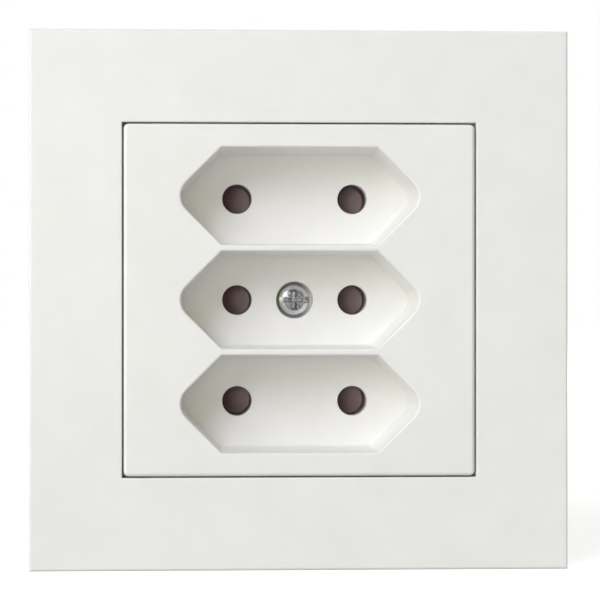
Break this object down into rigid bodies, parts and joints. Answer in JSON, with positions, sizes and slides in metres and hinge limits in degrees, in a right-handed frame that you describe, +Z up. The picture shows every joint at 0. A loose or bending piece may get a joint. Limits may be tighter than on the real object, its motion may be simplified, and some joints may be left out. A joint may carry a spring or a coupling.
{
  "type": "flush wall socket",
  "caption": "White flush wall socket: square cover frame, centre plate with stacked recesses for flat mains plugs, sprung brown safety shutters and rear wire terminals.",
  "frame": {"origin": "middle of the wall plane, level with the back rim of the cover frame", "axes": "+Z up, the front faces -Y, +Y runs into the wall, +X to the right seen from the front"},
  "size_m": [0.0844, 0.0328, 0.0844],
  "materials": {
    "frame_white": "moulded white, smooth",
    "plate_white": "moulded white, smooth",
    "shutter_brown": "moulded dark brown, glossy",
    "screw_zinc": "bright zinc plating",
    "spring_steel": "drawn spring wire",
    "plate_steel": "galvanised sheet",
    "carrier_plastic": "moulded dark brown, matt",
    "base_plastic": "moulded thermoset, off white",
    "contact_brass": "stamped strip",
    "terminal_brass": "machined block"
  },
  "bodies": {
    "housing": {"cover_frame": "frame_white", "centre_plate": "plate_white", "centre_screw": "screw_zinc", "shutter_carrier": "carrier_plastic", "contact_cover": "base_plastic", "socket_base": "base_plastic", "centre_nut": "screw_zinc", "terminal_screws": "screw_zinc", "mounting_plate": "plate_steel", "base_screws": "screw_zinc", "shutter_spring_top": "spring_steel", "shutter_spring_middle": "spring_steel", "shutter_spring_bottom": "spring_steel", "contact_strip_left": "contact_brass", "terminal_block_left": "terminal_brass", "contact_strip_right": "contact_brass", "terminal_block_right": "terminal_brass"},
    "top_shutter": {"shutter_top": "shutter_brown"},
    "middle_shutter": {"shutter_middle": "shutter_brown"},
    "bottom_shutter": {"shutter_bottom": "shutter_brown"}
  },
  "joints": [
    {"name": "top_shutter_slide", "type": "slide", "parent": "housing", "child": "top_shutter", "axis": [1, 0, 0], "range_m": [0, 0.0047], "stiffness_N_per_m": 60, "springref_m": -0.003, "deforming": ["shutter_spring_top"]},
    {"name": "middle_shutter_slide", "type": "slide", "parent": "housing", "child": "middle_shutter", "axis": [1, 0, 0], "range_m": [0, 0.0047], "stiffness_N_per_m": 60, "springref_m": -0.003, "deforming": ["shutter_spring_middle"]},
    {"name": "bottom_shutter_slide", "type": "slide", "parent": "housing", "child": "bottom_shutter", "axis": [1, 0, 0], "range_m": [0, 0.0047], "stiffness_N_per_m": 60, "springref_m": -0.003, "deforming": ["shutter_spring_bottom"]}
  ]
}
